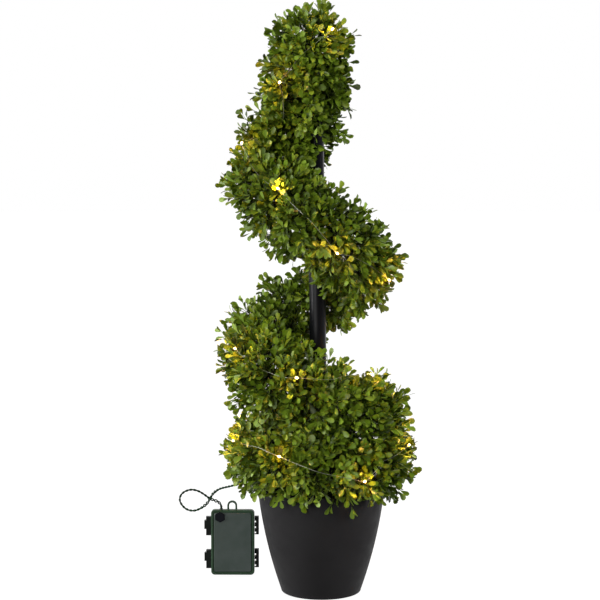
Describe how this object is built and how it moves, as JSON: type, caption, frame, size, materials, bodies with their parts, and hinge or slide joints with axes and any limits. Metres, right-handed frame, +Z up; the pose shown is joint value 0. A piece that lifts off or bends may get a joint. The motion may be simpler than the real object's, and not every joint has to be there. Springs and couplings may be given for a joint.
{
  "type": "artificial spiral topiary in a planter",
  "caption": "Artificial boxwood spiral on a slim pole in a tapered planter, with a battery box for its small lights on a short lead.",
  "frame": {"origin": "centre of the pot's flat underside", "axes": "+Z up along the plant, -Y towards the front, +X to the right seen from the front"},
  "size_m": [0.3662, 0.2953, 0.8976],
  "materials": {
    "pot_plastic": "matt, fine grained anthracite",
    "cement": "rough cast",
    "pole_pipe": "glossy black",
    "foliage": "moulded green leaves with a soft gloss",
    "box_plastic": "dark green, satin",
    "black_plastic": "satin black",
    "lead_jacket": "dark green, satin"
  },
  "bodies": {
    "root": {"pot": "pot_plastic", "pot_fill": "cement", "pole": "pole_pipe", "spiral_mass_01": "foliage", "spiral_mass_02": "foliage", "spiral_mass_03": "foliage", "spiral_mass_04": "foliage", "spiral_mass_05": "foliage", "spiral_mass_06": "foliage", "spiral_mass_07": "foliage", "spiral_mass_08": "foliage", "spiral_mass_09": "foliage", "spiral_mass_10": "foliage", "spiral_mass_11": "foliage", "spiral_mass_12": "foliage", "box_case": "box_plastic", "box_cover": "box_plastic", "box_button": "black_plastic", "box_latch_upper": "black_plastic", "box_latch_lower": "black_plastic", "box_hinge_upper": "black_plastic", "box_hinge_lower": "black_plastic", "box_loop": "box_plastic", "lead_gland": "black_plastic", "light_lead": "lead_jacket", "lead_sleeve": "black_plastic"}
  },
  "joints": []
}
